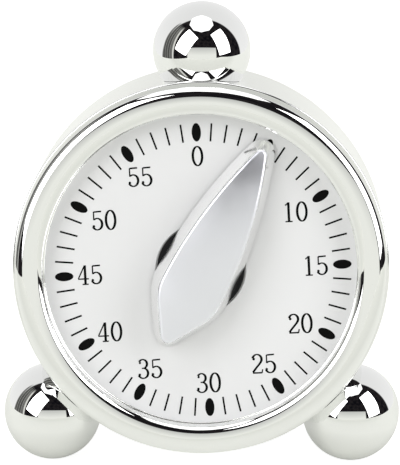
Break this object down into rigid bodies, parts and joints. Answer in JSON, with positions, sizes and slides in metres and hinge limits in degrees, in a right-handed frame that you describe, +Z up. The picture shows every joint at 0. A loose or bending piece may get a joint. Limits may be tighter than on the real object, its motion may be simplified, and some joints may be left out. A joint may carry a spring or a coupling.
{
  "type": "laboratory timer",
  "caption": "Chrome desk-top mechanical minute timer: round drum on ball feet with a ball on top, white dial in a deep bezel and a long pointer-shaped turning knob.",
  "frame": {"origin": "middle of the bounding box in plan, on the table that the feet and the drum's rear edge rest on", "axes": "+Z up, +X to the right of the dial as a user sees it, +Y away from the user; the dial faces -Y and leans back"},
  "size_m": [0.0816, 0.0472, 0.0943],
  "materials": {
    "case_chrome": "polished plate",
    "ball_chrome": "polished plate",
    "dial_white": "satin white",
    "carrier_steel": "plain",
    "knob_silver": "satin silver",
    "knob_black": "black",
    "spring_steel": "blued",
    "movement_brass": "plain",
    "bell_bronze": "polished",
    "screw_steel": "turned",
    "arbor_steel": "polished"
  },
  "bodies": {
    "case": {"drum_shell": "case_chrome", "bezel": "case_chrome", "dial_plate": "dial_white", "movement_carrier": "carrier_steel", "carrier_screws": "screw_steel", "back_cover": "case_chrome", "back_cover_screws": "screw_steel", "top_ball": "ball_chrome", "left_ball": "ball_chrome", "right_ball": "ball_chrome", "ball_screws": "screw_steel", "ball_washers": "screw_steel", "front_plate": "movement_brass", "rear_plate": "movement_brass", "movement_pillars": "movement_brass", "front_pillar_screws": "screw_steel", "rear_pillar_screws": "screw_steel", "movement_screws": "screw_steel", "mainspring": "spring_steel", "mainspring_anchor": "movement_brass", "stop_tab": "movement_brass", "lever_spring": "spring_steel", "hammer_spring": "spring_steel", "spring_studs": "movement_brass", "bell_dome": "bell_bronze", "bell_post": "movement_brass", "bell_screw": "screw_steel"},
    "pointer": {"knob_cap": "knob_silver", "knob_core": "knob_black", "main_arbor": "arbor_steel", "main_wheel": "movement_brass", "release_cam": "arbor_steel"},
    "second": {"second_arbor": "arbor_steel", "second_pinion": "arbor_steel", "second_wheel": "movement_brass"},
    "third": {"third_arbor": "arbor_steel", "third_pinion": "arbor_steel", "third_wheel": "movement_brass"},
    "escape": {"escape_arbor": "arbor_steel", "escape_pinion": "arbor_steel", "escape_wheel": "movement_brass"},
    "pallet": {"pallet_arbor": "arbor_steel", "pallet_anchor": "arbor_steel", "balance_bar": "movement_brass"},
    "lever": {"lever_arbor": "arbor_steel", "release_lever": "arbor_steel"},
    "hammer": {"hammer_arbor": "arbor_steel", "hammer_arm": "arbor_steel", "hammer_head": "arbor_steel"}
  },
  "joints": [
    {"name": "pointer_turn", "type": "hinge", "parent": "case", "child": "pointer", "pos_m": [0, -0.00357, 0.04055], "axis": [0, 0.9921, -0.1251], "range_deg": [-30, 315]},
    {"name": "second_wheel_turn", "type": "hinge", "parent": "case", "child": "second", "pos_m": [0.01691, -0.0028, 0.04666], "axis": [0, 0.9921, -0.1251], "range_deg": [-1576, 151]},
    {"name": "third_wheel_turn", "type": "hinge", "parent": "case", "child": "third", "pos_m": [0.01975, -0.00426, 0.03509], "axis": [0, 0.9921, -0.1251], "range_deg": [-601, 6301]},
    {"name": "escape_wheel_turn", "type": "hinge", "parent": "case", "child": "escape", "pos_m": [0.01435, -0.00531, 0.02673], "axis": [0, 0.9921, -0.1251], "range_deg": [-25201, 2401]},
    {"name": "pallet_swing", "type": "hinge", "parent": "case", "child": "pallet", "pos_m": [0.00812, -0.00586, 0.02242], "axis": [0, 0.9921, -0.1251], "range_deg": [-2.5, 2.5]},
    {"name": "lever_lift", "type": "hinge", "parent": "case", "child": "lever", "pos_m": [-0.01559, -0.00244, 0.04948], "axis": [0, -0.9921, 0.1251], "range_deg": [0, 12], "stiffness_Nm_per_rad": 0.01},
    {"name": "hammer_swing", "type": "hinge", "parent": "case", "child": "hammer", "pos_m": [-0.01835, -0.00418, 0.03567], "axis": [0, -0.9921, 0.1251], "range_deg": [0, 6.5], "stiffness_Nm_per_rad": 0.01}
  ],
  "couplings": [
    {"joint": "second_wheel_turn", "follows": "pointer_turn", "ratio": -5},
    {"joint": "third_wheel_turn", "follows": "pointer_turn", "ratio": 20},
    {"joint": "escape_wheel_turn", "follows": "pointer_turn", "ratio": -80}
  ]
}
